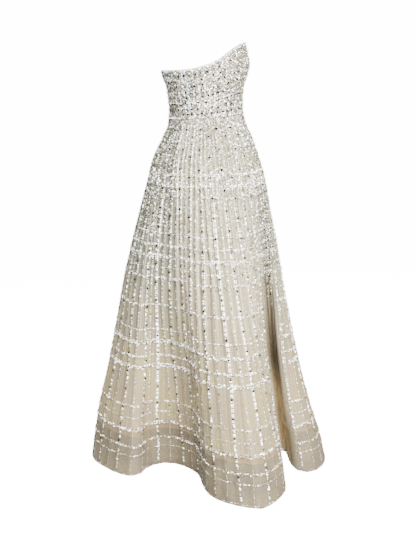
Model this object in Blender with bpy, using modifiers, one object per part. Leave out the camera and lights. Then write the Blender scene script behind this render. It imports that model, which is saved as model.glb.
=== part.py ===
# Strapless tulle maxi dress, standing open as if it were worn, with nobody in it.
# Metres. +Z is up, the front faces -Y and the wearer's right side is -X.
# The origin is the middle of the waist, where the wearer holds the dress up.
# A bearing is in degrees round the dress: 0 at centre front, 90 at the wearer's
# right side, 180 at centre back and -90 at the wearer's left side.

import math
from collections import namedtuple

import bmesh
import bpy
import numpy as np
from mathutils import Vector

COLLECTION = "tulle_maxi_dress"

# Walls and clearances
SKIRT_WALL = 0.002          # embroidered tulle over its net
BODICE_WALL = 0.003         # sequinned tulle on a boned foundation
LINING_WALL = 0.001         # satin
SEAM_GAP = 0.0003           # between two pieces that are sewn together

# Heights and widths of the narrow pieces
HEM_DROP = 1.035            # waist to the floor side of the hem
HEM_EDGING_HEIGHT = 0.006
HEM_EDGING_WIDTH = 0.003
NECK_BINDING_HEIGHT = 0.004
NECK_BINDING_WIDTH = 0.0034
LINING_DROP = 0.918         # the satin ends 0.117 above the tulle's hem
LINING_CLEARANCE = 0.0065   # between the tulle's folds and the satin, below the hip
ZIP_WALL = 0.001
ZIP_CLEARANCE = 0.001       # between the zip tape and the satin
ZIP_DROP = 0.19             # the zip runs from the neckline to just below the hip
HIP_DROP = 0.19
SLIDER_SIZE = (0.008, 0.004, 0.011)
SLIDER_BELOW_TOP = 0.003
SLIDER_EDGE = 0.0012

# Waist seam: it dips a little to the back and lifts to the front
SEAM_MEAN_HEIGHT = 0.001
SEAM_TILT = 0.008

# Pleats and tucks
PLEATS = 70                 # one under each line of beads
STEEPEST_PLEAT = 0.45       # depth over width, so that no wall closes on its neighbour
FRONT_PLEATS = 44           # in the skirt's front panel; each back panel has 13
TUCKS = 48
TUCK_HEIGHT = 0.0012
SIDE_BACK_SEAM = 112.5      # bearing of the bodice's side back seams
CUP_BEARING = 30.0          # middle of each soft cup
CUP_SPREAD = 24.0
BODICE_ROWS = 7

# The bodice from the waist up. front and back are its depths from the origin,
# cup is how far each cup stands out of that section.
Section = namedtuple("Section", "height half_width front back cup")
BODICE_SECTIONS = [
    Section(-0.012, 0.1220, 0.1047, 0.1036, 0.000),
    Section(0.016, 0.1225, 0.1022, 0.1020, 0.000),
    Section(0.049, 0.1270, 0.1015, 0.1054, 0.001),
    Section(0.082, 0.1350, 0.1018, 0.1107, 0.004),
    Section(0.110, 0.1410, 0.1085, 0.1210, 0.008),
    Section(0.137, 0.1450, 0.1138, 0.1257, 0.010),
    Section(0.169, 0.1450, 0.1094, 0.1257, 0.008),
    Section(0.201, 0.1430, 0.1036, 0.1257, 0.005),
]

# The top edge, cut the same on both sides; the wearer's left hangs a little lower
Edge = namedtuple("Edge", "bearing height")
NECKLINE = [
    Edge(0, 0.2003), Edge(22, 0.1998), Edge(42, 0.1922), Edge(53, 0.1823), Edge(70, 0.1636),
    Edge(87, 0.1460), Edge(103, 0.1332), Edge(120, 0.1275), Edge(150, 0.1252), Edge(180, 0.1258),
]
NECK_SAG = 0.013
NECK_SAG_BEARING = -62.0
NECK_SAG_SPREAD = 33.0

# The skirt from the waist down. fold is how much of the hem's large folds has
# opened at that level, pleat is a pleat's depth from ridge to valley.
Level = namedtuple("Level", "drop half_width front back fold pleat")
SKIRT_LEVELS = [
    Level(0.000, 0.1220, 0.1027, 0.1027, 0.00, 0.0030),
    Level(0.020, 0.1270, 0.1078, 0.1050, 0.00, 0.0040),
    Level(0.060, 0.1450, 0.1256, 0.1210, 0.01, 0.0060),
    Level(0.120, 0.1680, 0.1487, 0.1470, 0.03, 0.0070),
    Level(0.190, 0.1870, 0.1670, 0.1645, 0.08, 0.0070),
    Level(0.270, 0.2040, 0.1795, 0.1845, 0.15, 0.0070),
    Level(0.360, 0.2220, 0.1960, 0.2060, 0.23, 0.0070),
    Level(0.460, 0.2420, 0.2100, 0.2275, 0.33, 0.0070),
    Level(0.560, 0.2600, 0.2250, 0.2450, 0.43, 0.0065),
    Level(0.670, 0.2780, 0.2420, 0.2640, 0.57, 0.0055),
    Level(0.780, 0.2940, 0.2630, 0.2850, 0.71, 0.0045),
    Level(0.870, 0.3060, 0.2830, 0.3040, 0.83, 0.0035),
    Level(0.950, 0.3130, 0.3050, 0.3150, 0.93, 0.0030),
    Level(1.035, 0.3200, 0.3220, 0.3260, 1.00, 0.0025),
]
LINING_LEVELS = [0.0, 0.020, 0.060, 0.120, 0.190, 0.380, 0.630, LINING_DROP]
LINING_TURN = 14.0          # degrees that its outline may turn from one point to the next
LINING_REACH = 3            # or this many pleat edges, whichever comes first
HEM_EDGING_POINTS = 84

# The hem seen from above: the crest and valley of each large fold, and the points
# between them that its curve needs, in order round the dress.
Fold = namedtuple("Fold", "bearing reach")
HEM_FOLDS = [
    Fold(70.0, 0.373), Fold(76.5, 0.351), Fold(84.0, 0.314), Fold(92.0, 0.266),
    Fold(97.2, 0.206), Fold(106.0, 0.125), Fold(129.0, 0.097), Fold(155.0, 0.104),
    Fold(165.5, 0.140), Fold(161.5, 0.190), Fold(151.5, 0.238), Fold(154.0, 0.266),
    Fold(167.0, 0.302), Fold(185.0, 0.351), Fold(199.0, 0.338), Fold(215.0, 0.240),
    Fold(230.0, 0.335), Fold(245.0, 0.338), Fold(261.0, 0.234), Fold(276.0, 0.340),
    Fold(290.0, 0.338), Fold(305.0, 0.238), Fold(319.0, 0.338), Fold(331.0, 0.334),
    Fold(343.0, 0.277), Fold(362.0, 0.363), Fold(378.0, 0.352), Fold(386.0, 0.315),
    Fold(383.5, 0.281), Fold(371.0, 0.253), Fold(358.0, 0.251), Fold(351.5, 0.241),
    Fold(355.5, 0.226), Fold(370.0, 0.231), Fold(396.5, 0.266), Fold(412.0, 0.327),
]
ANCHOR_WAIST_BEARING = 85.0     # the cloth at the first row hangs from here

SPLINE_STEPS = 24
NORMAL_STEP = 180.0 / PLEATS    # degrees each way, to find which way a wall faces
WIDEST_CORNER = 1.5             # most that an offset may grow at a sharp corner

IVORY_TULLE = (0.62, 0.58, 0.50, 1.0)
SEQUIN_WHITE = (0.66, 0.64, 0.59, 1.0)
NUDE_SATIN = (0.56, 0.45, 0.33, 1.0)
PALE_BRAID = (0.74, 0.72, 0.67, 1.0)
NYLON_IVORY = (0.60, 0.57, 0.50, 1.0)


def between_rows(keys, values, at):
    """Values at given keys, on a curve through the rows without corners."""
    keys = np.asarray(keys, dtype=float)
    values = np.asarray(values, dtype=float)
    at = np.clip(np.asarray(at, dtype=float), keys[0], keys[-1])
    slopes = np.gradient(values, keys)
    row = np.clip(np.searchsorted(keys, at, side="right") - 1, 0, len(keys) - 2)
    step = keys[row + 1] - keys[row]
    t = (at - keys[row]) / step
    start = (2 * t**3 - 3 * t**2 + 1) * values[row] + (t**3 - 2 * t**2 + t) * step * slopes[row]
    end = (3 * t**2 - 2 * t**3) * values[row + 1] + (t**3 - t**2) * step * slopes[row + 1]
    return start + end


def column(table, name):
    return [getattr(row, name) for row in table]


def fold_bearing(bearings):
    """The same bearing measured from centre front either way, from 0 to 180."""
    return np.abs((np.asarray(bearings, dtype=float) + 180.0) % 360.0 - 180.0)


def seam_height(bearings):
    return SEAM_MEAN_HEIGHT + SEAM_TILT * np.cos(np.radians(bearings))


def neck_height(bearings):
    cut = between_rows(column(NECKLINE, "bearing"), column(NECKLINE, "height"), fold_bearing(bearings))
    off_sag = ((bearings - NECK_SAG_BEARING + 180.0) % 360.0 - 180.0) / NECK_SAG_SPREAD
    return cut - NECK_SAG * np.exp(-off_sag**2)


def oval(bearings, half_width, front, back):
    """An oval round the body, with its own depth to the front and to the back."""
    angles = np.radians(bearings)
    depth = np.where(np.cos(angles) > 0.0, front, back)
    return np.stack([-half_width * np.sin(angles), -depth * np.cos(angles)], axis=-1)


def make_hem_plan():
    """The hem's closed curve, as points an equal length of cloth apart."""
    angles = np.radians(column(HEM_FOLDS, "bearing"))
    reach = np.asarray(column(HEM_FOLDS, "reach"))
    knots = np.stack([-reach * np.sin(angles), -reach * np.cos(angles)], axis=-1)
    pieces = []
    t = np.linspace(0.0, 1.0, SPLINE_STEPS, endpoint=False)[:, None]
    for i in range(len(knots)):
        before, here = knots[i - 1], knots[i]
        after, beyond = knots[(i + 1) % len(knots)], knots[(i + 2) % len(knots)]
        span = np.linalg.norm(after - here)
        leave = (after - before) * span / (np.linalg.norm(here - before) + span)
        arrive = (beyond - here) * span / (np.linalg.norm(beyond - after) + span)
        pieces.append((2 * t**3 - 3 * t**2 + 1) * here + (t**3 - 2 * t**2 + t) * leave
                      + (3 * t**2 - 2 * t**3) * after + (t**3 - t**2) * arrive)
    curve = np.concatenate(pieces + [knots[:1]])
    lengths = np.concatenate([[0.0], np.cumsum(np.linalg.norm(np.diff(curve, axis=0), axis=1))])
    return curve, lengths


HEM_CURVE, HEM_LENGTHS = make_hem_plan()


def hem_point(bearings):
    """Where on the hem the cloth ends that hangs from these waist bearings."""
    share = ((np.asarray(bearings, dtype=float) - ANCHOR_WAIST_BEARING) / 360.0) % 1.0
    length = share * HEM_LENGTHS[-1]
    return np.stack([np.interp(length, HEM_LENGTHS, HEM_CURVE[:, axis]) for axis in (0, 1)], axis=-1)


def skirt_plan(bearings, drop):
    """The skirt's smooth outline at one level, before it is pleated."""
    drops = column(SKIRT_LEVELS, "drop")
    half_width, front, back, fold = [between_rows(drops, column(SKIRT_LEVELS, name), drop)
                                     for name in ("half_width", "front", "back", "fold")]
    hem = SKIRT_LEVELS[-1]
    own = oval(bearings, half_width, front, back)
    return own + fold * (hem_point(bearings) - oval(bearings, hem.half_width, hem.front, hem.back))


def bodice_plan(bearings, heights):
    """The bodice's smooth outline, each bearing at its own height."""
    levels = column(BODICE_SECTIONS, "height")
    half_width, front, back, cup = [between_rows(levels, column(BODICE_SECTIONS, name), heights)
                                    for name in ("half_width", "front", "back", "cup")]
    plan = oval(bearings, half_width, front, back)
    off_cup = (fold_bearing(bearings) - CUP_BEARING) / CUP_SPREAD
    return plan * (1.0 + (cup * np.exp(-off_cup**2) / front)[..., None])


def outward(plan, bearings, *level):
    """Directions that point out of an outline, longer at a sharp corner."""
    here = plan(bearings, *level)
    ahead = plan(bearings + NORMAL_STEP, *level) - here
    behind = here - plan(bearings - NORMAL_STEP, *level)
    ahead = ahead / np.linalg.norm(ahead, axis=-1, keepdims=True)
    behind = behind / np.linalg.norm(behind, axis=-1, keepdims=True)
    along = ahead + behind
    straightness = np.linalg.norm(along, axis=-1, keepdims=True) / 2.0
    facing = np.stack([-along[..., 1], along[..., 0]], axis=-1) / (2.0 * straightness)
    return facing * np.minimum(1.0 / straightness, WIDEST_CORNER)


def skirt_row(bearings, drop, offset):
    """One level of a piece of the skirt, moved out from the smooth outline by offset."""
    plan = skirt_plan(bearings, drop) + outward(skirt_plan, bearings, drop) * np.reshape(offset, (-1, 1))
    fade = max(0.0, 1.0 - drop / 0.12)
    heights = seam_height(bearings) * fade - drop
    return np.column_stack([plan, heights])


def bodice_row(bearings, rise, offset, top_margin=0.0):
    """One row of the bodice, rise 0 at the waist seam and 1 at the top edge."""
    bottom = seam_height(bearings) + SEAM_GAP / 2.0
    heights = bottom + rise * (neck_height(bearings) - top_margin - bottom)
    plan = bodice_plan(bearings, heights)
    plan = plan + outward(bodice_plan, bearings, heights) * np.reshape(offset, (-1, 1))
    return np.column_stack([plan, heights])


def pleat_depth(bearings, drop):
    """Ridge to valley, less where a large fold crowds the pleats."""
    drops = column(SKIRT_LEVELS, "drop")
    depth = between_rows(drops, column(SKIRT_LEVELS, "pleat"), drop)
    half = 180.0 / PLEATS
    width = np.linalg.norm(skirt_plan(bearings + half, drop) - skirt_plan(bearings - half, drop), axis=-1)
    return np.minimum(depth, STEEPEST_PLEAT * width)


def pleat_offsets(bearings, drop):
    """Ridge, valley, ridge and so on, half the depth each side of the outline."""
    side = np.where(np.arange(len(bearings)) % 2 == 0, 0.5, -0.5)
    return side * pleat_depth(bearings, drop)


def pull_ends_in(bearings, start, end, reach):
    """Bearings of a panel's points, with both ends half a seam gap short."""
    bearings = np.array(bearings, dtype=float)
    margin = math.degrees(SEAM_GAP / 2.0 / reach)
    bearings[0] = start + margin
    bearings[-1] = end - margin
    return bearings


def cloth_wall(name, outer_rows, inner_rows, closed, material):
    """A wall of cloth between two sets of rows, top row first, as one solid."""
    mesh = bmesh.new()
    outer = [[mesh.verts.new(point) for point in row] for row in outer_rows]
    inner = [[mesh.verts.new(point) for point in row] for row in inner_rows]
    count = len(outer[0])
    steps = [(i, (i + 1) % count) for i in range(count if closed else count - 1)]
    for skin, flip in ((outer, False), (inner, True)):
        for upper, lower in zip(skin[:-1], skin[1:]):
            for i, j in steps:
                # the same diagonal on both skins, so that a twisted wall stays as thick
                for corners in ((upper[i], upper[j], lower[j]), (upper[i], lower[j], lower[i])):
                    mesh.faces.new(corners[::-1] if flip else corners)
    for i, j in steps:
        mesh.faces.new([outer[0][j], outer[0][i], inner[0][i], inner[0][j]])
        mesh.faces.new([outer[-1][i], outer[-1][j], inner[-1][j], inner[-1][i]])
    if not closed:
        for row in range(len(outer) - 1):
            mesh.faces.new([outer[row][0], outer[row + 1][0], inner[row + 1][0], inner[row][0]])
            mesh.faces.new([outer[row + 1][-1], outer[row][-1], inner[row][-1], inner[row + 1][-1]])
    return place(name, mesh, material)


def place(name, mesh, material):
    """Turn a bmesh into an object of the dress, shaded smooth."""
    bmesh.ops.recalc_face_normals(mesh, faces=mesh.faces)
    data = bpy.data.meshes.new(name)
    mesh.to_mesh(data)
    mesh.free()
    data.shade_smooth()
    data.set_sharp_from_angle(angle=math.radians(50.0))
    data.materials.append(material)
    piece = bpy.data.objects.new(name, data)
    bpy.data.collections[COLLECTION].objects.link(piece)
    return piece


def make_material(name, color, roughness, metallic=0.0):
    material = bpy.data.materials.new(name)
    material.use_nodes = True
    shader = material.node_tree.nodes["Principled BSDF"]
    shader.inputs["Base Color"].default_value = color
    shader.inputs["Roughness"].default_value = roughness
    shader.inputs["Metallic"].default_value = metallic
    return material


def make_bodice_panel(name, start, end, material):
    """A sequinned panel from one seam to the next, ridged by its fine tucks."""
    steps = round((end - start) * TUCKS * 2 / 360.0)
    bearings = pull_ends_in(np.linspace(start, end, steps + 1), start, end, BODICE_SECTIONS[0].front)
    tuck = np.where(np.arange(steps + 1) % 2 == 0, 0.0, TUCK_HEIGHT)
    margin = NECK_BINDING_HEIGHT + SEAM_GAP
    rises = np.linspace(1.0, 0.0, BODICE_ROWS + 1)
    outer = [bodice_row(bearings, rise, tuck, margin) for rise in rises]
    inner = [bodice_row(bearings, rise, -BODICE_WALL + 0.0 * tuck, margin) for rise in rises]
    return cloth_wall(name, outer, inner, False, material)


def make_skirt_panel(name, first_pleat, pleats, material):
    """A pleated tulle panel from the waist seam to the hem edging."""
    start = first_pleat * 360.0 / PLEATS
    end = (first_pleat + pleats) * 360.0 / PLEATS
    count = 2 * pleats + 1
    drops = column(SKIRT_LEVELS, "drop")
    drops[0] = SEAM_GAP / 2.0
    drops[-1] = HEM_DROP - HEM_EDGING_HEIGHT - SEAM_GAP
    outer = []
    inner = []
    for level, drop in zip(SKIRT_LEVELS, drops):
        bearings = pull_ends_in(np.linspace(start, end, count), start, end, level.front)
        ridges = pleat_offsets(bearings, drop)
        outer.append(skirt_row(bearings, drop, ridges))
        inner.append(skirt_row(bearings, drop, ridges - SKIRT_WALL))
    return cloth_wall(name, outer, inner, False, material)


def lining_offset(bearings, drop):
    """Where the outer face of the satin hangs, inside the tulle's pleats."""
    ease = min(1.0, drop / HIP_DROP)
    inside_pleats = SKIRT_WALL + pleat_depth(bearings, drop) / 2.0
    return -(inside_pleats + SEAM_GAP + ease * LINING_CLEARANCE)


def lining_bearings():
    """Pleat edges that the satin passes, closer together where its folds turn."""
    edges = np.arange(2 * PLEATS) * 180.0 / PLEATS
    facing = outward(skirt_plan, edges, LINING_DROP)
    heading = np.degrees(np.unwrap(np.arctan2(facing[:, 1], facing[:, 0])))
    kept = [0]
    for i in range(1, len(edges)):
        turned = abs(heading[min(i + 1, len(edges) - 1)] - heading[kept[-1]])
        if turned > LINING_TURN or i - kept[-1] >= LINING_REACH:
            kept.append(i)
    return edges[kept]


def make_lining(material):
    """The satin skirt inside the tulle, hung from the same waist seam."""
    bearings = lining_bearings()
    drops = [SEAM_GAP / 2.0] + LINING_LEVELS[1:]
    outer = [skirt_row(bearings, drop, lining_offset(bearings, drop)) for drop in drops]
    inner = [skirt_row(bearings, drop, lining_offset(bearings, drop) - LINING_WALL) for drop in drops]
    return cloth_wall("skirt_lining", outer, inner, True, material)


def make_hem_edging(material):
    """The beaded braid that finishes the hem."""
    bearings = np.arange(HEM_EDGING_POINTS) * 360.0 / HEM_EDGING_POINTS
    half = HEM_EDGING_WIDTH / 2.0
    middle = -SKIRT_WALL / 2.0
    drops = (HEM_DROP - HEM_EDGING_HEIGHT, HEM_DROP)
    outer = [skirt_row(bearings, drop, middle + half + 0.0 * bearings) for drop in drops]
    inner = [skirt_row(bearings, drop, middle - half + 0.0 * bearings) for drop in drops]
    return cloth_wall("hem_edging", outer, inner, True, material)


def make_neck_binding(material):
    """The narrow binding on the top edge, open at the centre back zip."""
    steps = TUCKS * 2
    bearings = pull_ends_in(np.linspace(-180.0, 180.0, steps + 1), -180.0, 180.0, BODICE_SECTIONS[0].back)
    rows = []
    for offset in (0.0002, 0.0002 - NECK_BINDING_WIDTH):
        low = bodice_row(bearings, 1.0, offset + 0.0 * bearings, NECK_BINDING_HEIGHT)
        high = low.copy()
        high[:, 2] += NECK_BINDING_HEIGHT
        rows.append([high, low])
    return cloth_wall("neck_binding", rows[0], rows[1], False, material)


def zip_bearings():
    """Five columns of points at the bodice's own tucks, across centre back."""
    return 180.0 + np.arange(-2, 3) * 180.0 / TUCKS


def make_zip(material):
    """The closed zip tape inside the centre back, from the neckline to the hip."""
    bearings = zip_bearings()
    outer = []
    inner = []
    for rise in np.linspace(1.0, 0.0, BODICE_ROWS + 1):
        at_waist = lining_offset(bearings, 0.0) - LINING_WALL - ZIP_CLEARANCE
        face = at_waist if rise == 0.0 else np.full(len(bearings), -BODICE_WALL - SEAM_GAP)
        for rows, offset in ((outer, face), (inner, face - ZIP_WALL)):
            rows.append(bodice_row(bearings, rise, offset, NECK_BINDING_HEIGHT + SEAM_GAP))
    for level in SKIRT_LEVELS:
        if level.drop <= ZIP_DROP:
            across = 180.0 + (bearings - 180.0) * SKIRT_LEVELS[0].back / level.back
            face = lining_offset(across, level.drop) - LINING_WALL - ZIP_CLEARANCE
            for rows, offset in ((outer, face), (inner, face - ZIP_WALL)):
                rows.append(skirt_row(across, max(level.drop, SEAM_GAP / 2.0), offset))
    return cloth_wall("back_zip", outer, inner, False, material)


def make_slider(material):
    """The zip's slider, closed at the top, flat against the inside of the tape."""
    width, depth, height = SLIDER_SIZE
    face = [-BODICE_WALL - ZIP_WALL - 2.0 * SEAM_GAP]
    margin = NECK_BINDING_HEIGHT + SEAM_GAP
    top = Vector(bodice_row(np.array([180.0]), 1.0, face, margin)[0])
    below = Vector(bodice_row(np.array([180.0]), 1.0 - 1.0 / BODICE_ROWS, face, margin)[0])
    down = (below - top).normalized()
    inward = down.cross(Vector((1.0, 0.0, 0.0)))
    mesh = bmesh.new()
    bmesh.ops.create_cube(mesh, size=1.0)
    bmesh.ops.scale(mesh, vec=(width, depth, height), verts=mesh.verts)
    slider = place("zip_slider", mesh, material)
    slider.location = top + down * (SLIDER_BELOW_TOP + height / 2.0) + inward * depth / 2.0
    slider.rotation_euler = (math.atan2(down.y, -down.z), 0.0, 0.0)
    bevel = slider.modifiers.new("rounded", "BEVEL")
    bevel.width = SLIDER_EDGE
    bevel.segments = 2
    return slider


def clear_scene():
    for item in list(bpy.data.objects):
        bpy.data.objects.remove(item, do_unlink=True)
    collection = bpy.data.collections.new(COLLECTION)
    bpy.context.scene.collection.children.link(collection)


def build_dress():
    clear_scene()
    sequins = make_material("sequinned_tulle", SEQUIN_WHITE, 0.35)
    make_bodice_panel("bodice_front", -SIDE_BACK_SEAM, SIDE_BACK_SEAM, sequins)
    make_bodice_panel("bodice_back_right", SIDE_BACK_SEAM, 180.0, sequins)
    make_bodice_panel("bodice_back_left", -180.0, -SIDE_BACK_SEAM, sequins)
    tulle = make_material("beaded_tulle", IVORY_TULLE, 0.55)
    back_pleats = (PLEATS - FRONT_PLEATS) // 2
    make_skirt_panel("skirt_front", -FRONT_PLEATS / 2, FRONT_PLEATS, tulle)
    make_skirt_panel("skirt_back_right", FRONT_PLEATS / 2, back_pleats, tulle)
    make_skirt_panel("skirt_back_left", FRONT_PLEATS / 2 + back_pleats, back_pleats, tulle)
    make_lining(make_material("nude_satin", NUDE_SATIN, 0.30))
    braid = make_material("pale_braid", PALE_BRAID, 0.40)
    make_neck_binding(braid)
    make_hem_edging(braid)
    make_zip(make_material("zip_tape", NYLON_IVORY, 0.60))
    make_slider(make_material("zip_slider", NYLON_IVORY, 0.45))


build_dress()
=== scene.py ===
# Strapless tulle maxi dress: pleated beaded tulle over nude satin, sequinned bodice.
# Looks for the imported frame. Front is -Y, wearer's right is -X, the waist is the origin.
import math
from collections import namedtuple

import bpy
import numpy as np
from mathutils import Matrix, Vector


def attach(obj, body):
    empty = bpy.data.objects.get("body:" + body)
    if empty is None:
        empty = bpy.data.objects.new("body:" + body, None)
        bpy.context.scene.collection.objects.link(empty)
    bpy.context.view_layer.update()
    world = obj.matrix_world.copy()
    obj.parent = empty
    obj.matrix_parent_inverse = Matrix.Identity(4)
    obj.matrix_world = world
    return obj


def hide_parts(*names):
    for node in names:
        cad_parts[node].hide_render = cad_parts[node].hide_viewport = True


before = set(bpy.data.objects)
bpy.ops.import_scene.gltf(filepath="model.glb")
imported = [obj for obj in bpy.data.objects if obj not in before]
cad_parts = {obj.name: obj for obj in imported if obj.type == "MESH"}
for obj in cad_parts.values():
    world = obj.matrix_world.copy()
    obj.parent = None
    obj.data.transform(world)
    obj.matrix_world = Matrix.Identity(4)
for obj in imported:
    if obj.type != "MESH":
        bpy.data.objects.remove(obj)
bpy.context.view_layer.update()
rng = np.random.default_rng(41)
print("frame loaded,", len(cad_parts), "nodes")

# Cut and seams, in metres. Bearings run in degrees from centre front over the wearer's right.
dress = {
    "pleats": 70,
    "hemDrop": 1.035,
    "edgingHeight": 0.006,
    "bindingHeight": 0.004,
    "seamGap": 0.0003,
    "seamMean": 0.001,
    "seamTilt": 0.008,
    "seamFade": 0.12,         # drop where the waist seam's dip has died away
    "sag": 0.013,             # the top edge hangs this much lower on the wearer's left
    "sagBearing": -62.0,
    "sagSpread": 33.0,
    "cupBearing": 30.0,       # middle of each soft cup
    "cupSpread": 24.0,
    "anchor": 85.0,           # waist bearing of the cloth at the first fold row
}

# front and back are depths from the origin, cup is how far each cup stands out
Section = namedtuple("Section", "height halfWidth front back cup")
bodiceSections = [
    Section(-0.012, 0.1220, 0.1047, 0.1036, 0.000),
    Section(0.016, 0.1225, 0.1022, 0.1020, 0.000),
    Section(0.049, 0.1270, 0.1015, 0.1054, 0.001),
    Section(0.082, 0.1350, 0.1018, 0.1107, 0.004),
    Section(0.110, 0.1410, 0.1085, 0.1210, 0.008),
    Section(0.137, 0.1450, 0.1138, 0.1257, 0.010),
    Section(0.169, 0.1450, 0.1094, 0.1257, 0.008),
    Section(0.201, 0.1430, 0.1036, 0.1257, 0.005),
]
# The top edge, cut the same on both sides
Edge = namedtuple("Edge", "bearing height")
neckline = [
    Edge(0, 0.2003), Edge(22, 0.1998), Edge(42, 0.1922), Edge(53, 0.1823), Edge(70, 0.1636),
    Edge(87, 0.1460), Edge(103, 0.1332), Edge(120, 0.1275), Edge(150, 0.1252), Edge(180, 0.1258),
]
# fold is the share of the hem's folds that shows at a level, pleat is the depth of a pleat there
Level = namedtuple("Level", "drop halfWidth front back fold pleat")
skirtLevels = [
    Level(0.000, 0.1220, 0.1027, 0.1027, 0.00, 0.0030),
    Level(0.020, 0.1270, 0.1078, 0.1050, 0.00, 0.0040),
    Level(0.060, 0.1450, 0.1256, 0.1210, 0.01, 0.0060),
    Level(0.120, 0.1680, 0.1487, 0.1470, 0.03, 0.0070),
    Level(0.190, 0.1870, 0.1670, 0.1645, 0.08, 0.0070),
    Level(0.270, 0.2040, 0.1795, 0.1845, 0.15, 0.0070),
    Level(0.360, 0.2220, 0.1960, 0.2060, 0.23, 0.0070),
    Level(0.460, 0.2420, 0.2100, 0.2275, 0.33, 0.0070),
    Level(0.560, 0.2600, 0.2250, 0.2450, 0.43, 0.0058),
    Level(0.670, 0.2780, 0.2420, 0.2640, 0.57, 0.0040),
    Level(0.780, 0.2940, 0.2630, 0.2850, 0.71, 0.0026),
    Level(0.870, 0.3060, 0.2830, 0.3040, 0.83, 0.0020),
    Level(0.950, 0.3130, 0.3050, 0.3150, 0.93, 0.0020),
    Level(1.035, 0.3200, 0.3220, 0.3260, 1.00, 0.0025),
]
# The hem from above: crests, valleys and the points between that the curve needs
Fold = namedtuple("Fold", "bearing reach")
hemFolds = [
    Fold(70.0, 0.373), Fold(76.5, 0.351), Fold(84.0, 0.314), Fold(92.0, 0.266),
    Fold(97.2, 0.206), Fold(106.0, 0.125), Fold(129.0, 0.097), Fold(155.0, 0.104),
    Fold(165.5, 0.140), Fold(161.5, 0.190), Fold(151.5, 0.238), Fold(154.0, 0.266),
    Fold(167.0, 0.302), Fold(185.0, 0.351), Fold(199.0, 0.338), Fold(215.0, 0.240),
    Fold(230.0, 0.335), Fold(245.0, 0.338), Fold(261.0, 0.234), Fold(276.0, 0.340),
    Fold(290.0, 0.338), Fold(305.0, 0.238), Fold(319.0, 0.338), Fold(331.0, 0.334),
    Fold(343.0, 0.277), Fold(362.0, 0.363), Fold(378.0, 0.352), Fold(386.0, 0.315),
    Fold(383.5, 0.281), Fold(371.0, 0.253), Fold(358.0, 0.251), Fold(351.5, 0.241),
    Fold(355.5, 0.226), Fold(370.0, 0.231), Fold(396.5, 0.266), Fold(412.0, 0.327),
]
pleats = dress["pleats"]
perPleat = 360.0 / pleats     # degrees


def column(table, name):
    return np.array([getattr(row, name) for row in table], dtype=float)


def curveBetween(t, here, leave, after, arrive):
    # smooth step from one place to the next, leave and arrive are its slopes there
    start = (2 * t**3 - 3 * t**2 + 1) * here + (t**3 - 2 * t**2 + t) * leave
    end = (3 * t**2 - 2 * t**3) * after + (t**3 - t**2) * arrive
    return start + end


def betweenRows(keys, values, at):
    at = np.clip(np.asarray(at, dtype=float), keys[0], keys[-1])
    slopes = np.gradient(values, keys)
    row = np.clip(np.searchsorted(keys, at, side="right") - 1, 0, len(keys) - 2)
    step = keys[row + 1] - keys[row]
    t = (at - keys[row]) / step
    return curveBetween(t, values[row], step * slopes[row], values[row + 1], step * slopes[row + 1])


def fromTable(table, key, names, at):
    keys = column(table, key)
    return [betweenRows(keys, column(table, name), at) for name in names]


def lengthsAlong(points):
    steps = np.linalg.norm(np.diff(points, axis=0), axis=1)
    return np.concatenate([[0.0], np.cumsum(steps)])


def fromFront(bearings):
    return np.abs((bearings + 180.0) % 360.0 - 180.0)


def seamHeight(bearings):
    return dress["seamMean"] + dress["seamTilt"] * np.cos(np.radians(bearings))


def neckHeight(bearings):
    cut = betweenRows(column(neckline, "bearing"), column(neckline, "height"), fromFront(bearings))
    offSag = fromFront(bearings - dress["sagBearing"]) / dress["sagSpread"]
    return cut - dress["sag"] * np.exp(-offSag**2)


def oval(bearings, halfWidth, front, back):
    angles = np.radians(bearings)
    depth = np.where(np.cos(angles) > 0.0, front, back)
    return np.stack([-halfWidth * np.sin(angles), -depth * np.cos(angles)], axis=-1)


def makeHemCurve(steps=40):
    reach = column(hemFolds, "reach")
    knots = oval(column(hemFolds, "bearing"), reach, reach, reach)
    t = np.linspace(0.0, 1.0, steps, endpoint=False)[:, None]
    parts = []
    for i in range(len(knots)):
        before, here = knots[i - 1], knots[i]
        after, beyond = knots[(i + 1) % len(knots)], knots[(i + 2) % len(knots)]
        span = np.linalg.norm(after - here)
        leave = (after - before) * span / (np.linalg.norm(here - before) + span)
        arrive = (beyond - here) * span / (np.linalg.norm(beyond - after) + span)
        parts.append(curveBetween(t, here, leave, after, arrive))
    return np.concatenate(parts + [knots[:1]])


hemCurve = makeHemCurve()
hemLengths = lengthsAlong(hemCurve)


def hemPoint(bearings):
    length = ((bearings - dress["anchor"]) / 360.0) % 1.0 * hemLengths[-1]
    return np.stack([np.interp(length, hemLengths, hemCurve[:, axis]) for axis in (0, 1)], axis=-1)


def skirtPlan(bearings, drops):
    names = ("halfWidth", "front", "back", "fold")
    halfWidth, front, back, fold = fromTable(skirtLevels, "drop", names, drops)
    hem = skirtLevels[-1]
    atHem = hemPoint(bearings) - oval(bearings, hem.halfWidth, hem.front, hem.back)
    return oval(bearings, halfWidth, front, back) + fold[..., None] * atHem


def bodicePlan(bearings, heights):
    names = ("halfWidth", "front", "back", "cup")
    halfWidth, front, back, cup = fromTable(bodiceSections, "height", names, heights)
    offCup = (fromFront(bearings) - dress["cupBearing"]) / dress["cupSpread"]
    swell = 1.0 + cup * np.exp(-offCup**2) / front
    return oval(bearings, halfWidth, front, back) * swell[..., None]


def outward(plan, bearings, levels):
    # points out of an outline, a little longer at a sharp corner
    here = plan(bearings, levels)
    ahead = plan(bearings + perPleat / 2, levels) - here
    behind = here - plan(bearings - perPleat / 2, levels)
    ahead /= np.linalg.norm(ahead, axis=-1, keepdims=True)
    behind /= np.linalg.norm(behind, axis=-1, keepdims=True)
    along = ahead + behind
    straight = np.linalg.norm(along, axis=-1, keepdims=True) / 2.0
    facing = np.stack([-along[..., 1], along[..., 0]], axis=-1) / (2.0 * straight)
    return facing * np.minimum(1.0 / straight, 1.5)


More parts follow.
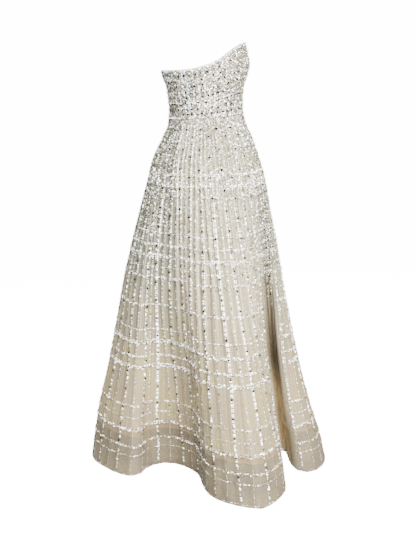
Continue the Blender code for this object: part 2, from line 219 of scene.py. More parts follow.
def movedOut(plan, bearings, levels, offset):
    return plan(bearings, levels) + outward(plan, bearings, levels) * np.asarray(offset)[..., None]


def atHeight(outline, heights):
    return np.concatenate([outline, heights[..., None]], axis=-1)


# Materials
def addNode(tree, kind, settings, values, output=0):
    # settings come first, then each socket gets its value or its link
    node = tree.nodes.new(kind)
    for name, value in settings.items():
        setattr(node, name, value)
    for key, value in values.items():
        if isinstance(value, Socket):
            tree.links.new(value.out, node.inputs[key])
        else:
            node.inputs[key].default_value = value
    return Socket(tree, node.outputs[output])


class Socket:
    # node socket that does sums
    def __init__(self, tree, out):
        self.tree, self.out = tree, out

    def sum(self, operation, *values):
        return addNode(self.tree, "ShaderNodeMath", {"operation": operation}, dict(enumerate(values)))

    def __add__(self, other):
        return self.sum("ADD", self, other)

    def __sub__(self, other):
        return self.sum("SUBTRACT", self, other)

    def __rsub__(self, other):
        return self.sum("SUBTRACT", other, self)

    def __mul__(self, other):
        return self.sum("MULTIPLY", self, other)

    def between(self, low, high):
        # 0 below low, 1 above high
        values = {"Value": self, "From Min": low, "From Max": high}
        return addNode(self.tree, "ShaderNodeMapRange", {"interpolation_type": "SMOOTHSTEP"}, values)

    def within(self, zone):
        # 1 inside the zone, which tells where each of its soft edges starts and ends
        rise, fall = zone
        return self.between(*rise) - self.between(*fall)

    __radd__ = __add__
    __rmul__ = __mul__


class Paint:
    # one material, with its nodes and the sockets of its shader
    def __init__(self, name, **values):
        self.material = bpy.data.materials.new(name)
        self.material.use_nodes = True
        self.tree = self.material.node_tree
        self.shader = self.tree.nodes["Principled BSDF"]
        for key, value in values.items():
            self.shader.inputs[key.replace("_", " ")].default_value = value

    def node(self, kind, settings=None, output=0, **values):
        return addNode(self.tree, kind, settings or {}, values, output)

    def mix(self, share, *colors):
        low, high = [color if isinstance(color, Socket) else (*color, 1.0) for color in colors]
        return addNode(self.tree, "ShaderNodeMix", {"data_type": "RGBA"}, {0: share, 6: low, 7: high}, 2)

    def clothCoords(self):
        coords = self.node("ShaderNodeUVMap", {"uv_map": "cloth"})
        return coords, *[self.node("ShaderNodeSeparateXYZ", output=axis, Vector=coords) for axis in (0, 1)]

    def noise(self, coords, scale, detail):
        return self.node("ShaderNodeTexNoise", Vector=coords, Scale=scale, Detail=detail)

    def link(self, socket, name):
        self.tree.links.new(socket.out, self.shader.inputs[name])


# Tulle over satin. Colours go in pairs: between and on the fine creases, whose stripes are painted crease
# shade, of the patches or, for the two walls of the deep fold, which are painted shade, from its edge
# inwards.
tulleColors = {
    "pale": ((0.134, 0.122, 0.076), (0.268, 0.248, 0.166)),
    "grey": ((0.050, 0.052, 0.034), (0.120, 0.121, 0.086)),
    "tan": ((0.138, 0.110, 0.062), (0.230, 0.194, 0.122)),
    "cream": ((0.134, 0.105, 0.045), (0.172, 0.138, 0.064)),
    "rose": ((0.118, 0.089, 0.048), (0.150, 0.118, 0.069)),
    "bareAndShaded": ((0.080, 0.063, 0.033), (0.062, 0.047, 0.027)),
    "upperWallShade": ((0.036, 0.028, 0.016), (0.100, 0.080, 0.046)),
    "lowerWallShade": ((0.145, 0.114, 0.068), (0.44, 0.355, 0.22)),
    "satinEdge": (0.108, 0.078, 0.039),
    "lipHighlight": (0.20, 0.17, 0.11),
}
# soft edges across, counted in pleats
tulleZones = {
    "darkBack": ((24.6, 26.0), (44.0, 45.4)),
    "sides": ((5.0, 15.0), (55.0, 65.0)),
    "foldLipHighlight": ((2.0, 2.2), (2.5, 2.8)),
    "foldWallShade": ((2.5, 2.8), (8.8, 9.8)),
    "foldDepth": (2.9, 5.9),
}
# fades down the skirt, in metres below the waist
tulleFades = {
    "tan": (0.20, 0.35),
    "lower": (0.30, 0.80),
    "ribsEnd": (0.50, 0.80),
    "foldLipHighlight": (0.42, 0.62),
    "foldWallShade": (0.38, 0.56),
    "lowerWallShade": (0.70, 0.86),
    "satinEdge": (0.895, 0.898),
    "bareAndShaded": (0.910, 0.914),
}
tulleFinish = {
    "front": 0.8,             # share of grey painted shade on the upper front, next to the back panel
    "ribShade": 0.28,         # how much painted shade darkens the valleys
    "darkest": 0.76,          # the mesh's grain starts here and adds up to grain
    "grain": 0.44,
    "rough": 0.75,
    "edgeGloss": 0.35,        # how much smoother the satin's edge is
}


def tullePaint():
    # x of the cloth coordinates counts pleats, y is metres below the waist
    paint = Paint("tulle")
    coords, across, down = paint.clothCoords()

    def stretched(acrossScale, downScale, detail):
        place = paint.node("ShaderNodeCombineXYZ", X=across * acrossScale, Y=down * downScale)
        return paint.noise(place, 1.0, detail)

    def shade(name, share):
        return paint.mix(share, *tulleColors[name])

    def fade(name):
        return down.between(*tulleFades[name])

    patchy = stretched(0.30, 9.0, 3.0)
    mesh = stretched(6.0, 260.0, 2.0)
    wave = across * (6.0 * math.pi) + paint.noise(coords, 1.3, 3.0) * 9.0
    creaseShade = wave.sum("SINE", wave) * 0.5 + 0.5
    # upper skirt, with grey painted shade on the back panel, which also has a greyer tone of its own, and
    # on the front
    tanned = patchy.between(0.46, 0.56) * fade("tan")
    middle = paint.mix(tanned, shade("pale", creaseShade), shade("tan", creaseShade))
    ahead = 1.0 - across.within(tulleZones["sides"])
    shadedShare = across.within(tulleZones["darkBack"]) + ahead * tulleFinish["front"]
    upper = paint.mix(shadedShare, middle, shade("grey", creaseShade))
    # lower skirt, down to the satin's edge and below it
    patches = patchy.between(0.42, 0.58)
    lower = paint.mix(patches, shade("cream", creaseShade), shade("rose", creaseShade))
    body = paint.mix(fade("lower"), upper, lower)
    edge = fade("satinEdge") - fade("bareAndShaded")
    edged = paint.mix(edge, body, tulleColors["satinEdge"])
    # below the satin's edge the tulle gets its own darker tone plus painted shade of the skirt's inside
    # seen through it
    hung = paint.mix(fade("bareAndShaded"), edged, shade("bareAndShaded", patches))
    # deep fold: a painted highlight on its lip, then painted shade on the wall, painted lighter where
    # little light reaches it
    lipHighlight = across.within(tulleZones["foldLipHighlight"]) * fade("foldLipHighlight")
    lipped = paint.mix(lipHighlight, hung, tulleColors["lipHighlight"])
    deep = across.between(*tulleZones["foldDepth"])
    wall = paint.mix(fade("lowerWallShade"), shade("upperWallShade", deep), shade("lowerWallShade", deep))
    fold = across.within(tulleZones["foldWallShade"]) * fade("foldWallShade")
    color = paint.mix(fold, lipped, wall)
    # painted shade darkens the valleys in the upper skirt, and the mesh gives a fine grain all over
    turn = across * (2.0 * math.pi)
    valley = 1.0 - turn.sum("COSINE", turn).between(-1.0, -0.2)
    shadow = 1.0 - valley * (1.0 - fade("ribsEnd")) * tulleFinish["ribShade"]
    # grain here carries the painted valley shade as well as the mesh's grain
    grain = (tulleFinish["darkest"] + mesh.between(0.3, 0.7) * tulleFinish["grain"]) * shadow
    grainedAndShaded = paint.node("ShaderNodeVectorMath", {"operation": "SCALE"}, Vector=color, Scale=grain)
    paint.link(grainedAndShaded, "Base Color")
    paint.link(tulleFinish["rough"] - edge * tulleFinish["edgeGloss"], "Roughness")
    return paint.material


def satinPaint():
    paint = Paint("satin", Roughness=0.28, Specular_IOR_Level=0.6, Sheen_Weight=0.1)
    coords, _, down = paint.clothCoords()
    body = paint.mix(paint.noise(coords, 0.8, 2.0), (0.146, 0.112, 0.062), (0.173, 0.136, 0.080))
    hemmed = paint.mix(down.between(0.896, 0.899), body, (0.170, 0.108, 0.046))
    paint.link(hemmed, "Base Color")
    return paint.material


def plainPaint(name, color, roughness, **more):
    return Paint(name, Base_Color=(*color, 1.0), Roughness=roughness, **more).material


paints = {
    "tulle": tullePaint(),
    "satin": satinPaint(),
    "bodiceNet": plainPaint("bodiceNet", (0.075, 0.072, 0.055), 0.6),
    "bodiceInside": plainPaint("bodiceInside", (0.38, 0.36, 0.32), 0.4),
    "binding": plainPaint("binding", (0.30, 0.29, 0.26), 0.45),
    "edging": plainPaint("edging", (0.075, 0.060, 0.036), 0.5),
    "pearl": plainPaint("pearl", (0.96, 0.955, 0.935), 0.20, Coat_Weight=1.0),
    "ivory": plainPaint("ivory", (0.36, 0.33, 0.245), 0.5, Specular_IOR_Level=0.3),
    "cream": plainPaint("cream", (0.315, 0.280, 0.200), 0.5, Specular_IOR_Level=0.3),
    "silver": plainPaint("silver", (0.16, 0.162, 0.125), 0.5, Specular_IOR_Level=0.3),
    "olive": plainPaint("olive", (0.040, 0.039, 0.027), 0.8, Specular_IOR_Level=0.1),
    "blush": plainPaint("blush", (0.30, 0.245, 0.160), 0.5, Specular_IOR_Level=0.3),
    "ice": plainPaint("ice", (0.42, 0.53, 0.63), 0.20, Coat_Weight=0.6),
    "crystal": plainPaint("crystal", (0.012, 0.011, 0.009), 0.9, Specular_IOR_Level=0.05),
    "zipTape": plainPaint("zipTape", (0.21, 0.20, 0.175), 0.6),
    "zipSlider": plainPaint("zipSlider", (0.21, 0.20, 0.175), 0.4),
}
print("materials ready")


def makeMesh(name, points, faces, materials, index=None, loopUV=None, smooth=True):
    mesh = bpy.data.meshes.new(name)
    mesh.vertices.add(len(points))
    mesh.vertices.foreach_set("co", np.asarray(points, dtype=np.float32).ravel())
    mesh.loops.add(faces.size)
    mesh.loops.foreach_set("vertex_index", faces.astype(np.int32).ravel())
    mesh.polygons.add(len(faces))
    starts = np.arange(0, faces.size, faces.shape[1], dtype=np.int32)
    mesh.polygons.foreach_set("loop_start", starts)
    if index is not None:
        mesh.polygons.foreach_set("material_index", index.astype(np.int32))
    mesh.update(calc_edges=True)
    mesh.validate()
    if loopUV is not None:
        mesh.uv_layers.new(name="cloth").data.foreach_set("uv", loopUV.astype(np.float32).ravel())
    for paint in materials:
        mesh.materials.append(paints[paint])
    if smooth:
        mesh.shade_smooth()
    thing = bpy.data.objects.new(name, mesh)
    bpy.context.scene.collection.objects.link(thing)
    return thing


def gridFaces(rows, columns, closed):
    # quads of a grid of points, top row first, facing outwards
    lastColumn = columns if closed else columns - 1
    i, j = [part.ravel() for part in np.meshgrid(np.arange(rows - 1), np.arange(lastColumn), indexing="ij")]
    k = (j + 1) % columns
    corners = [i * columns + j, i * columns + k, (i + 1) * columns + k, (i + 1) * columns + j]
    return np.stack(corners, axis=-1)


def tube(name, point, across, downs, paint):
    # a closed sleeve of cloth, one layer, with its cloth coordinates
    a, d = np.meshgrid(across, downs)
    rows, columns = a.shape
    faces = gridFaces(rows, columns, True)
    uv = np.stack([a.ravel()[faces], d.ravel()[faces]], axis=-1).reshape(rows - 1, columns, 4, 2)
    uv[:, -1, 1:3, 0] += pleats          # the last quad of each row ends where the first starts
    return makeMesh(name, point(a, d).reshape(-1, 3), faces, [paint], loopUV=uv)


def placed(thing, nodes=()):
    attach(thing, "root")
    if nodes:
        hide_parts(*nodes)
    print(thing.name, len(thing.data.polygons), "faces")
    return thing


# Tulle skirt. Each pleat's ridge carries a line of beads.
tulleSkirt = {
    "wall": 0.002,
    "steepest": 0.45,         # depth over width of a pleat
    "sharpness": 0.94,        # 1 would be a sharp zigzag
    "fullness": 0.92,         # of each level's pleat depth
    "inset": 0.0004,
    "driftDrop": 0.2,         # drop where the pleats' drift is at its full size
    "rowDriftDrop": 0.3,
    "steps": 10,
    "rows": 128,
}
# Small irregularities of hand-set pleats: turns round the skirt, turns down it, start, size
Drift = namedtuple("Drift", "around down start size")
pleatDrift = [Drift(5, 0.7, 0.1, 0.10), Drift(13, 1.6, 0.5, 0.07), Drift(29, 2.3, 0.8, 0.05)]
depthDrift = [Drift(9, 0.5, 0.3, 0.16), Drift(23, 1.1, 0.7, 0.14), Drift(34, 1.9, 0.2, 0.10)]
rowDrift = [Drift(4, 0.0, 0.2, 0.0016), Drift(11, 0.0, 0.6, 0.0012), Drift(27, 0.0, 0.9, 0.0007)]


def drift(table, u, drops):
    total = 0.0
    for row in table:
        turns = row.around * u / pleats + row.down * drops + row.start
        total = total + row.size * np.sin(2.0 * math.pi * turns)
    return total


def pleatDepth(bearings, drops):
    depth = fromTable(skirtLevels, "drop", ("pleat",), drops)[0]
    across = skirtPlan(bearings + perPleat / 2, drops) - skirtPlan(bearings - perPleat / 2, drops)
    return np.minimum(depth, tulleSkirt["steepest"] * np.linalg.norm(across, axis=-1))


def pleatWave(u):
    # rounded zigzag, 1 on the ridges and -1 in the valleys
    sharpness = tulleSkirt["sharpness"]
    return np.arcsin(sharpness * np.cos(2.0 * math.pi * u)) / math.asin(sharpness)


def hangHeight(bearings, drops):
    # the waist seam's dip dies away down the skirt
    fade = np.maximum(0.0, 1.0 - drops / dress["seamFade"])
    return seamHeight(bearings) * fade - drops


def skirtPoint(u, drops):
    # u counts pleats round the skirt, a whole number is a ridge with its line of beads
    aside = drift(pleatDrift, u, drops) * np.minimum(1.0, drops / tulleSkirt["driftDrop"])
    bearings = (u + aside) * perPleat
    depth = pleatDepth(bearings, drops) * (tulleSkirt["fullness"] + drift(depthDrift, u, drops))
    outline = movedOut(skirtPlan, bearings, drops, depth / 2.0 * pleatWave(u) - tulleSkirt["inset"])
    uneven = drift(rowDrift, u, drops) * np.minimum(1.0, drops / tulleSkirt["rowDriftDrop"])
    return atHeight(outline, hangHeight(bearings, drops) + uneven)


acrossTulle = np.arange(pleats * tulleSkirt["steps"]) / tulleSkirt["steps"]
tulleBottom = dress["hemDrop"] - dress["edgingHeight"] / 2
downTulle = np.linspace(dress["seamGap"] / 2, tulleBottom, tulleSkirt["rows"])
tulle = placed(tube("tulleSkirt", skirtPoint, acrossTulle, downTulle, "tulle"),
               ["skirt_front", "skirt_back_right", "skirt_back_left"])

# Satin lining. It hangs free of the pleats below the hip.
satinSkirt = {"bottom": 0.918, "clearance": 0.0065, "hipDrop": 0.19, "steps": 5, "rows": 60}


def satinPoint(u, drops):
    bearings = u * perPleat
    free = np.minimum(1.0, drops / satinSkirt["hipDrop"]) * satinSkirt["clearance"]
    inside = tulleSkirt["wall"] + pleatDepth(bearings, drops) / 2.0 + dress["seamGap"] + free
    return atHeight(movedOut(skirtPlan, bearings, drops, -inside), hangHeight(bearings, drops))


acrossSatin = np.arange(pleats * satinSkirt["steps"]) / satinSkirt["steps"]
downSatin = np.linspace(dress["seamGap"] / 2, satinSkirt["bottom"], satinSkirt["rows"])
satin = placed(tube("satinLining", satinPoint, acrossSatin, downSatin, "satin"),
               ["skirt_lining"])

# Bodice in three pieces, each with an outer and an inner layer
bodice = {
    "wall": 0.003,
    "tucks": 48,
    "tuckHeight": 0.0006,
    "steps": 8,               # points across a tuck
    "rows": 40,
    "seam": 112.5,            # bearing of the side back seams
    "radius": 0.103,          # at the seams, for the gap's angle
}


def bodicePoint(bearings, rises, offset=0.0, margin=0.0):
    # rises run from 0 at the waist seam to 1 at the top edge
    bottom = seamHeight(bearings) + dress["seamGap"] / 2.0
    heights = bottom + rises * (neckHeight(bearings) - margin - bottom)
    return atHeight(movedOut(bodicePlan, bearings, heights, offset), heights)


def bodiceShell(name, start, end):
    gap = math.degrees(dress["seamGap"] / 2 / bodice["radius"])
    stations = int((end - start) / 360.0 * bodice["tucks"] * bodice["steps"]) + 1
    across = np.linspace(start + gap, end - gap, stations)
    bearings, rises = np.meshgrid(across, np.linspace(1.0, 0.0, bodice["rows"]))
    margin = dress["bindingHeight"] + dress["seamGap"]
    tuck = bodice["tuckHeight"] * (0.5 - 0.5 * np.cos(np.radians(bearings * bodice["tucks"])))
    layers = [bodicePoint(bearings, rises, offset, margin) for offset in (tuck, -bodice["wall"])]
    rows, columns = bearings.shape
    count = rows * columns
    outer = gridFaces(rows, columns, False)
    inner = outer[:, ::-1] + count
    # down one side, along the bottom, up the other side and back along the top
    corner = np.arange(count).reshape(rows, columns)
    edge = np.concatenate([corner[:, 0], corner[-1, 1:], corner[-2::-1, -1], corner[0, -2::-1]])
    rim = np.stack([edge[:-1], edge[1:], edge[1:] + count, edge[:-1] + count], axis=-1)
    faces = np.concatenate([outer, inner, rim])
    index = np.arange(len(faces)) >= len(outer)
    return makeMesh(name, np.reshape(layers, (-1, 3)), faces, ["bodiceNet", "bodiceInside"], index)


shells = {
    "bodice_front": bodiceShell("bodiceFront", -bodice["seam"], bodice["seam"]),
    "bodice_back_right": bodiceShell("bodiceBackRight", bodice["seam"], 180.0),
    "bodice_back_left": bodiceShell("bodiceBackLeft", -180.0, -bodice["seam"]),
}
for node, shell in shells.items():
    placed(shell, [node])

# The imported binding, edging, zip and slider only take their paint
packedPaints = {"neck_binding": "binding", "hem_edging": "edging", "back_zip": "zipTape",
                "zip_slider": "zipSlider"}
for node, paint in packedPaints.items():
    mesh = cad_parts[node].data
    mesh.materials.clear()
    mesh.materials.append(paints[paint])
print("packed pieces painted")

# Sequins and beads
beadPaints = ["pearl", "ivory", "cream", "silver", "crystal", "olive", "blush", "ice"]


class Beads:
    # collects flat six-sided sequins and then makes one mesh of them
    def __init__(self, name, surface, turn, side):
        # turn is the sense and size of one step across, side tells which way is out
        self.name, self.surface, self.turn, self.side = name, surface, turn, side
        self.spots = []

    def add(self, across, down, radius, paint, lift=0.0010, tilt=0.35, keep=1.0):
        across, down = np.broadcast_arrays(np.atleast_1d(across), np.atleast_1d(down))
        across, down = across.ravel().astype(float), down.ravel().astype(float)
        kept = rng.random(len(across)) < keep
        same = [np.full(kept.sum(), value) for value in (radius, beadPaints.index(paint), lift, tilt)]
        self.spots.append(np.stack([across[kept], down[kept], *same], axis=-1))

    def make(self):
        spots = np.concatenate(self.spots)
        across, down, radius, index, lift, tilt = spots.T
        step = 1e-3
        here = self.surface(across, down)
        byAcross = self.surface(across + step * self.turn, down) - here
        byDown = self.surface(across, down + step) - here
        normal = np.cross(byDown, byAcross) * self.side
        normal /= np.linalg.norm(normal, axis=1, keepdims=True)
        facing = normal + rng.normal(0.0, 1.0, (len(spots), 3)) * tilt[:, None]
        facing /= np.linalg.norm(facing, axis=1, keepdims=True)
        first = np.cross(facing, rng.normal(0.0, 1.0, (len(spots), 3)))
        first /= np.linalg.norm(first, axis=1, keepdims=True)
        second = np.cross(facing, first)
        size = radius * rng.uniform(0.85, 1.15, len(spots))
        centre = here + normal * lift[:, None]
        angles = np.radians(np.arange(0, 360, 60))[:, None]
        ring = np.cos(angles) * first[:, None, :] + np.sin(angles) * second[:, None, :]
        corners = centre[:, None, :] + size[:, None, None] * ring
        faces = np.arange(len(spots) * 6).reshape(-1, 6)
        return makeMesh(self.name, corners.reshape(-1, 3), faces, beadPaints, index, smooth=False)


def evenly(drop, spacing):
    # pleat counts that put sequins the same distance apart along one level of the cloth
    u = np.linspace(0.0, pleats, pleats * 8 + 1)
    length = lengthsAlong(skirtPoint(u, np.full(len(u), drop)))
    return np.interp(np.arange(0.0, length[-1], spacing), length, u)


rowBeads = Beads("skirtBeadRows", skirtPoint, 1.0, -1.0)
lineBeads = Beads("skirtBeadLines", skirtPoint, 1.0, -1.0)
looseBeads = Beads("skirtSequins", skirtPoint, 1.0, -1.0)

# Levels where the skirt's beading changes, in metres below the waist
beading = {"top": 0.004, "hip": 0.22, "foldTop": 0.26, "thigh": 0.5, "shin": 0.8, "ankle": 0.88}
# The deep fold's inner wall is nearly bare. from and to count pleats.
deepFold = {"from": 2.4, "to": 9.4, "beadsEnd": 0.44, "stagger": 0.02}

# Rows of beads round the skirt. width is the number of sequins across.
Row = namedtuple("Row", "drop width radius")
beadRows = [
    Row(0.073, 1, 0.0016), Row(0.150, 2, 0.0021), Row(0.180, 2, 0.0021), Row(0.208, 2, 0.0017),
    Row(0.313, 1, 0.0018), Row(0.347, 2, 0.0017), Row(0.379, 3, 0.0020), Row(0.411, 1, 0.0017),
    Row(0.440, 2, 0.0019), Row(0.522, 2, 0.0019), Row(0.594, 1, 0.0017), Row(0.631, 3, 0.0020),
    Row(0.674, 2, 0.0019), Row(0.706, 3, 0.0020), Row(0.821, 2, 0.0019), Row(0.856, 1, 0.0017),
    Row(0.892, 3, 0.0021), Row(0.943, 2, 0.0019), Row(0.972, 1, 0.0017),
]
for row in beadRows:
    low = row.drop > beading["shin"]
    for strand in range(row.width):
        u = evenly(row.drop, row.radius * 1.9)
        u = u[(u < deepFold["from"]) | (u > deepFold["to"]) | (row.drop < beading["thigh"])]
        down = row.drop + (strand - (row.width - 1) / 2) * row.radius * 1.8
        down = down + rng.normal(0.0, 0.0007, len(u))
        rowBeads.add(u, down, row.radius * 0.82, "cream" if low else "ivory", tilt=0.45, keep=0.8)
        rowBeads.add(u, down, row.radius, "pearl", lift=0.0018, tilt=0.45, keep=0.20 if low else 0.34)
        # olive sequins under each row: dark beads that also paint the row's shadow
        rowBeads.add(u, down + row.radius, 0.0015, "olive", lift=0.0020, keep=0.32 if low else 0.60)

# Lines of beads down the ridges: dashed double lines with dark crystals, and plainer ones between
beadLines = {
    "bright": (0, 16, 18, 28, 38, 50, 60),     # these keep their white beads down to the ankle
    "brightShares": (0.8, 0.95),               # share of white beads above the thigh and below it
    "otherShares": (0.45, 0.35),
    "halfGap": 0.0015,        # from the ridge to each side of a double line
    "dotGap": 0.0030,         # bare cloth round a crystal
    "spacing": 0.0034,
    "plainSpacing": 0.0040,
    "crystals": 0.053,        # from one crystal to the next
    "crystalsEnd": 0.96,
    "halfBare": 2,            # this line by the deep fold has no dark beads lower down
    "halfBareFrom": 0.4,
    "aboveHem": 0.012,
}


def pleatWidth(down):
    # from one line of beads to the next
    return 0.0105 + 0.034 * down**1.6


def doubleLine(line, down, dots, folded):
    toDot = np.abs(down[:, None] - dots[None, :]).min(axis=1)
    dash = (np.arange(len(down)) % 4 != 3) & (toDot > beadLines["dotGap"])
    above, below = beadLines["brightShares" if line in beadLines["bright"] else "otherShares"]
    upper = down < beading["thigh"]
    ankle = down >= beading["ankle"]
    inFold = (down > beading["foldTop"]) & folded
    white = np.where(down < beading["hip"], 0.35, np.where(upper, above, below))
    white = white * np.where(ankle, 0.35, 1.0) * np.where(inFold, 0.25, 1.0)
    full = np.where(inFold, 0.35, np.where(upper, 0.65, 0.8))
    spread = beadLines["halfGap"] / pleatWidth(down)
    darkReach = beadLines["halfBareFrom"] if line == beadLines["halfBare"] else dress["hemDrop"]
    for way in (-1.0, 1.0):
        across = line + way * spread
        for paint, part in (("ivory", dash & ~ankle), ("cream", dash & ankle)):
            lineBeads.add(across[part], down[part], 0.0015, paint, tilt=0.45, keep=full[part])
        lineBeads.add(across[dash], down[dash], 0.0020, "pearl", lift=0.0016, tilt=0.45, keep=white[dash])
        dark = down[~dash & (down < darkReach)]
        lineBeads.add(line, dark + way * 0.0012, 0.0016, "olive", tilt=0.3, keep=0.6)
    lineBeads.add(line, dots[dots < darkReach], 0.0030, "crystal", lift=0.0044, tilt=0.1)


def plainLine(line, down, dots):
    upper = down[down < beading["shin"]]
    lower = down[down >= beading["shin"]]
    lineBeads.add(line, upper, 0.0012, "ivory", keep=np.where(upper < beading["thigh"], 0.55, 0.85))
    lineBeads.add(line, lower, 0.0012, "cream", keep=0.85)
    white = down[down < beading["ankle"]][::3]
    lineBeads.add(line, white, 0.0016, "pearl", lift=0.0016, keep=0.6)
    lineBeads.add(line, dots[dots > 0.3] - 0.02, 0.0022, "crystal", lift=0.0036, tilt=0.1, keep=0.3)


for line in range(pleats):
    folded = deepFold["from"] < line < deepFold["to"]
    end = dress["hemDrop"] - beadLines["aboveHem"]
    if folded:
        end = deepFold["beadsEnd"] + deepFold["stagger"] * (line * 3 % 7)
    dots = np.arange(0.030 + 0.010 * (line % 4), beadLines["crystalsEnd"], beadLines["crystals"])
    dots = dots[dots < end]
    if line % 2 == 0:
        doubleLine(line, np.arange(beading["top"], end, beadLines["spacing"]), dots, folded)
    else:
        plainLine(line, np.arange(beading["top"], end, beadLines["plainSpacing"]), dots)
print("rows and lines charted")

# Loose sequins between the lines, thick at the waist and thinning out below the hips
Scatter = namedtuple("Scatter", "paint count reach radius")
looseScatter = [
    Scatter("pearl", 1800, 0.34, 0.0016), Scatter("silver", 3600, 0.32, 0.0016),
    Scatter("olive", 10500, 0.47, 0.0015), Scatter("blush", 3400, 0.30, 0.0016),
    Scatter("ice", 700, 0.40, 0.0017),
]
for paint, count, reach, radius in looseScatter:
    down = beading["top"] + reach * rng.random(count) ** 1.7
    looseBeads.add(rng.random(count) * pleats, down, radius, paint, lift=0.0014, tilt=0.5)

# Darker back panel, its light edges and the arc of beads over each hip
darkBack = {"from": 25.7, "to": 44.3, "margin": 0.3, "edgeEnd": 0.26, "edgeShift": 0.9}
backScatter = [Scatter("olive", 2600, 0.28, 0.0017), Scatter("pearl", 420, 0.28, 0.0018)]
for paint, count, reach, radius in backScatter:
    down = beading["top"] + reach * rng.random(count) ** 1.3
    across = rng.uniform(darkBack["from"] + darkBack["margin"], darkBack["to"] - darkBack["margin"], count)
    looseBeads.add(across, down, radius, paint, lift=0.0018, tilt=0.5)
ArcPoint = namedtuple("ArcPoint", "across drop")
hipArc = [
    ArcPoint(4.3, 0.092), ArcPoint(5.0, 0.069), ArcPoint(6.0, 0.051), ArcPoint(7.2, 0.033),
    ArcPoint(9.0, 0.023), ArcPoint(11.0, 0.017), ArcPoint(12.8, 0.008),
]
arcAcross = np.arange(hipArc[0].across, hipArc[-1].across, 0.14)
arcDown = np.interp(arcAcross, column(hipArc, "across"), column(hipArc, "drop"))
edgeDown = np.arange(0.006, darkBack["edgeEnd"], 0.0026)
edgeShift = darkBack["edgeShift"] * np.clip((edgeDown - 0.08) / 0.03, 0.0, 1.0)
for paint, keep in (("ivory", 0.9), ("pearl", 0.45)):
    for edge in (darkBack["from"], darkBack["to"]):
        edgeAcross = edge - edgeShift * np.sign(pleats / 2 - edge)
        lineBeads.add(edgeAcross, edgeDown, 0.0016, paint, lift=0.0022, keep=keep)
    for way in (1.0, -1.0):
        lineBeads.add(arcAcross * way, arcDown, 0.0017, paint, lift=0.0024, keep=keep)

# Dark sequins at the front, and a white cluster at the hips
frontDark = {"count": 2400, "spread": 4.5, "reach": 0.42}
across = rng.normal(0.0, frontDark["spread"], frontDark["count"])
down = beading["top"] + frontDark["reach"] * rng.random(frontDark["count"])
looseBeads.add(across, down, 0.0016, "olive", lift=0.0018, tilt=0.5)
cluster = {"count": 600, "drop": 0.162, "spread": 0.015}
down = cluster["drop"] + rng.normal(0.0, cluster["spread"], cluster["count"])
looseBeads.add(rng.random(cluster["count"]) * pleats, down, 0.0022, "pearl", lift=0.0018, tilt=0.5)

# Beaded edge of the hem, spaced out at its lower side
hemBeads = {"drop": 1.0305, "lowerSide": 1.0325, "spacing": 0.0034, "jitter": 0.0009}
u = evenly(hemBeads["lowerSide"], hemBeads["spacing"])
for paint, keep in (("cream", 0.6), ("olive", 0.35), ("pearl", 0.25)):
    down = hemBeads["drop"] + rng.normal(0.0, hemBeads["jitter"], len(u))
    rowBeads.add(u, down, 0.0015, paint, lift=0.0010, tilt=0.3, keep=keep)
onSkirt = [placed(group.make()) for group in (rowBeads, lineBeads, looseBeads)]

# Bodice: across is a bearing, down is the rise from the waist seam to the top edge
bodiceBeads = Beads("bodiceSequins", bodicePoint, 30.0, 1.0)
sequinGrid = {"columns": 240, "rows": 56, "jitterAcross": 0.3, "jitterUp": 0.005}
Share = namedtuple("Share", "paint radius back front")
sequinShares = [
    Share("silver", 0.0017, 0.30, 0.22), Share("blush", 0.0017, 0.16, 0.34),
    Share("olive", 0.0018, 0.31, 0.21), Share("pearl", 0.0016, 0.17, 0.23),
    Share("ice", 0.0018, 0.06, 0.03),
]
# rise of each string or row, and the share of its beads that is there
beadStrings = {0.012: 0.5, 0.33: 0.8, 0.54: 0.8, 0.97: 0.3}
crystalRows = {0.09: 0.92, 0.19: 0.8, 0.31: 0.85, 0.43: 0.6, 0.55: 0.6, 0.66: 0.7, 0.77: 0.6, 0.88: 0.7}

columns = np.arange(sequinGrid["columns"]) * 360.0 / sequinGrid["columns"]
rows = (np.arange(sequinGrid["rows"]) + 0.5) / sequinGrid["rows"]
bearings, rises = np.meshgrid(columns, rows)
bearings = bearings + rng.normal(0.0, sequinGrid["jitterAcross"], bearings.shape)
rises = np.clip(rises + rng.normal(0.0, sequinGrid["jitterUp"], rises.shape), 0.01, 0.985)
for paint, radius, back, front in sequinShares:
    share = np.where(fromFront(bearings) > bodice["seam"], back, front).ravel()
    bodiceBeads.add(bearings, rises, radius, paint, tilt=0.5, keep=share)
for paint, share in (("pearl", 0.5), ("olive", 0.25)):
    bodiceBeads.add(np.arange(0.0, 360.0, 1.6), 0.990, 0.0016, paint, lift=0.0016, keep=share)
# white beads up each tuck
tucks = np.arange(bodice["tucks"]) * 360.0 / bodice["tucks"]
for tuck in tucks:
    down = np.arange(0.01, 0.97, 0.030)
    across = tuck + rng.normal(0.0, 1.0, len(down))
    bodiceBeads.add(across, down, 0.0020, "pearl", lift=0.0020, tilt=0.45, keep=0.5)
# strings of white beads with a dark line under each
for rise, keep in beadStrings.items():
    across = np.arange(0.0, 360.0, 2.4)
    level = rise + rng.normal(0.0, 0.003, len(across))
    keep = np.where(fromFront(across) > bodice["seam"], keep, keep * 0.5)
    bodiceBeads.add(across, level, 0.0021, "pearl", lift=0.0030, keep=keep)
    bodiceBeads.add(across + 1.2, level, 0.0018, "ivory", lift=0.0028, keep=keep)
    bodiceBeads.add(across + 0.8, level - 0.024, 0.0018, "olive", lift=0.0024, keep=0.7)
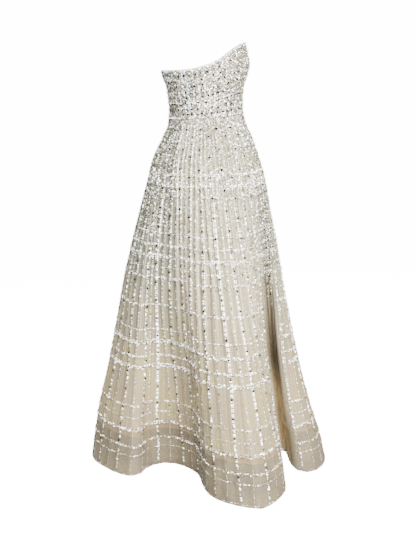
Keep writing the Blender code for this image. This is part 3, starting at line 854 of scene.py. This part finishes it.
# dark crystals between the tucks, a few loose ones, and the icy line beside each side back seam
betweenTucks = tucks + 180.0 / bodice["tucks"]
for rise, keep in crystalRows.items():
    across = betweenTucks + rng.normal(0.0, 0.8, len(tucks))
    down = rise + rng.normal(0.0, 0.006, len(tucks))
    bodiceBeads.add(across, down, 0.0030, "crystal", lift=0.0054, tilt=0.1, keep=keep)
looseCrystals = {"count": 160, "topRise": 0.95}
across = rng.random(looseCrystals["count"]) * 360.0
rise = rng.random(looseCrystals["count"]) * looseCrystals["topRise"]
bodiceBeads.add(across, rise, 0.0020, "crystal", lift=0.0036, tilt=0.2)
# bluish sequins along each side back seam paint a blue-white glint there
icyGlintLine = {"bearings": (122.0, 238.0), "spread": 1.5, "count": 60, "rises": (0.1, 0.95)}
lines = [bearing + rng.normal(0.0, icyGlintLine["spread"], icyGlintLine["count"]) for bearing in icyGlintLine["bearings"]]
across = np.concatenate(lines)
rise = rng.uniform(*icyGlintLine["rises"], len(across))
bodiceBeads.add(across, rise, 0.0017, "ice", lift=0.0030, tilt=0.4)
sparkle = placed(bodiceBeads.make())


satinEnd = satinPoint(acrossSatin, np.full(len(acrossSatin), satinSkirt["bottom"]))
satinHem = float(np.linalg.norm(satinEnd - np.roll(satinEnd, 1, axis=0), axis=1).sum())

# Floor, light and camera
studio = {"reach": 30.0, "floor": -1.45, "white": 14.0, "sky": 1.2}


def whiteStage(name, points, faces):
    # seen by the camera only, so that it lights nothing
    mesh = bpy.data.meshes.new(name)
    mesh.from_pydata(points, [], faces)
    thing = bpy.data.objects.new(name, mesh)
    bpy.context.scene.collection.objects.link(thing)
    glow = {"Emission_Color": (1.0, 1.0, 1.0, 1.0), "Emission_Strength": studio["white"]}
    mesh.materials.append(plainPaint(name, (0.9, 0.9, 0.9), 0.9, **glow))
    thing.visible_diffuse = False
    thing.visible_glossy = False
    thing.visible_shadow = False


reach = studio["reach"]
square = [(-reach, -reach), (reach, -reach), (reach, reach), (-reach, reach)]
corners = [(x, y, level) for level in (studio["floor"], reach) for x, y in square]
whiteStage("floor", corners[:4], [(0, 1, 2, 3)])
whiteStage("backdrop", corners, [(0, 1, 5, 4), (1, 2, 6, 5), (2, 3, 7, 6), (3, 0, 4, 7), (4, 5, 6, 7)])

world = bpy.data.worlds.new("studio")
bpy.context.scene.world = world
world.use_nodes = True
sky = world.node_tree.nodes["Background"]
sky.inputs["Color"].default_value = (1.0, 1.0, 1.0, 1.0)
sky.inputs["Strength"].default_value = studio["sky"]


def softLight(name, place, target, width, power, color=(1.0, 1.0, 1.0)):
    data = bpy.data.lights.new(name, "AREA")
    data.size = width
    data.energy = power
    data.color = color
    lamp = bpy.data.objects.new(name, data)
    lamp.location = place
    lamp.rotation_euler = (Vector(target) - Vector(place)).to_track_quat("-Z", "Y").to_euler()
    bpy.context.scene.collection.objects.link(lamp)


softLight("key", place=(-3.5, -1.1, 0.9), target=(0.0, 0.0, -0.45), width=2.6, power=1500.0,
          color=(1.0, 0.98, 0.94))
softLight("fill", place=(-3.0, 2.2, -0.1), target=(0.0, 0.0, -0.5), width=2.0, power=160.0)
softLight("far", place=(3.3, 0.4, 0.9), target=(0.0, 0.0, -0.4), width=2.2, power=420.0)

cameraPlace = {"azimuth": -95.0, "distance": 2.6, "height": 0.135, "aside": 0.0057, "tilt": 13.073,
               "lens": 58.92}
turned = math.radians(cameraPlace["azimuth"])
tilt = math.radians(cameraPlace["tilt"])
up = Vector((0.0, 0.0, 1.0))
right = Vector((math.cos(turned), math.sin(turned), 0.0))
away = Vector((math.sin(turned), -math.cos(turned), 0.0))
cameraData = bpy.data.cameras.new("camera")
cameraData.lens = cameraPlace["lens"]
camera = bpy.data.objects.new("camera", cameraData)
camera.location = (away * cameraPlace["distance"] + right * cameraPlace["aside"]
                   + up * cameraPlace["height"])
looking = -away * math.cos(tilt) - up * math.sin(tilt)
camera.rotation_euler = looking.to_track_quat("-Z", "Y").to_euler()
bpy.context.scene.collection.objects.link(camera)
bpy.context.scene.camera = camera

print("scene ready")
